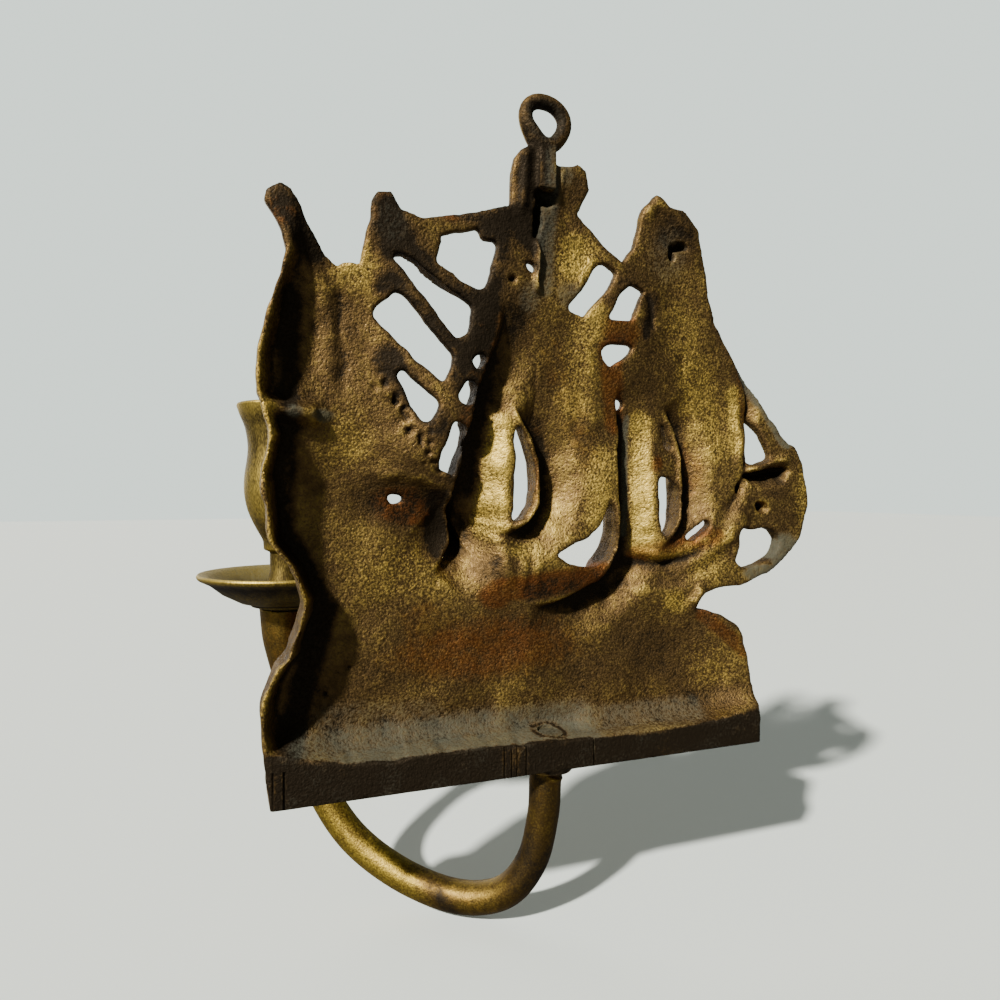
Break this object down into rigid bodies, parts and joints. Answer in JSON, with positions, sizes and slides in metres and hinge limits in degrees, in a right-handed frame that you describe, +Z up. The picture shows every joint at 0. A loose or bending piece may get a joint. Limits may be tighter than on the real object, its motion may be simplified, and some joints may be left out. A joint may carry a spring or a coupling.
{
  "type": "wall plaque candle holder",
  "caption": "Cast brass sailing-ship wall plaque, hollow behind, with a hanging ring and a swivelling arm that carries a drip pan and a candle cup.",
  "frame": {"origin": "nail's place in the hole of the hanging ring, on the wall plane that the back rims meet", "axes": "+Z up the wall; -Y straight out of the wall, the way the ship's front faces; +X towards the ship's stern"},
  "size_m": [0.2103, 0.0994, 0.2675],
  "materials": {
    "plaque_brass": "old cast brass with a dark brown and grey-green patina, gold where it is rubbed",
    "arm_brass": "old brass rod, dull gold with brown tarnish and small flaws",
    "turned_brass": "old turned brass, dull gold with brown tarnish"
  },
  "bodies": {
    "plaque": {"galleon_plaque": "plaque_brass"},
    "arm": {"candle_arm": "arm_brass", "drip_pan": "turned_brass", "candle_cup": "turned_brass"}
  },
  "joints": [
    {"name": "arm_swivel", "type": "hinge", "parent": "plaque", "child": "arm", "pos_m": [-0.005, -0.008, -0.204], "axis": [0, 0, 1], "range_deg": [-112, 8]}
  ]
}
